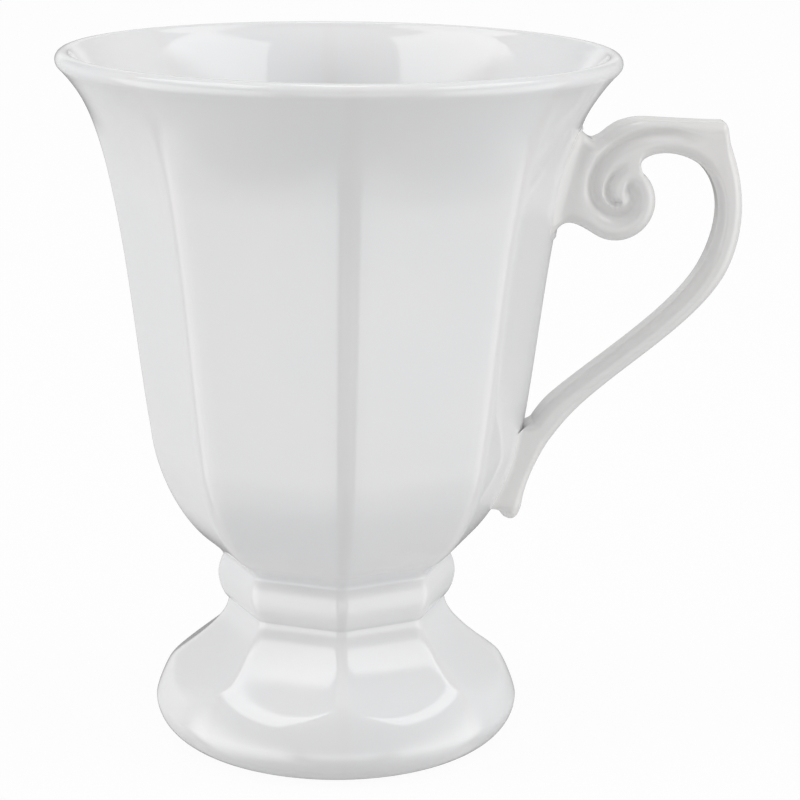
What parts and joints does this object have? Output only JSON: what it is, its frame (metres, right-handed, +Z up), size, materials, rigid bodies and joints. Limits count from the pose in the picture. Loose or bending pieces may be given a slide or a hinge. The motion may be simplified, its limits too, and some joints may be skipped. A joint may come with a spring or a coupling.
{
  "type": "footed mug",
  "caption": "White glazed porcelain footed mug: panelled bowl with a round flared lip, moulded knop, hollow bell foot and a scroll handle luted to one ridge.",
  "frame": {"origin": "On the mug's vertical axis, at the level of the table that the foot ring stands on", "axes": "+X from the mug's axis towards the handle, +Y level and square to the handle, +Z up"},
  "size_m": [0.1165, 0.0948, 0.12],
  "materials": {
    "glazed_porcelain": "glossy clear glaze over a white body",
    "slip": "fired slip under the same glaze"
  },
  "bodies": {
    "root": {"bowl": "glazed_porcelain", "foot": "glazed_porcelain", "handle": "glazed_porcelain", "foot_slip_joint": "slip", "handle_upper_slip_joint": "slip", "handle_lower_slip_joint": "slip"}
  },
  "joints": []
}
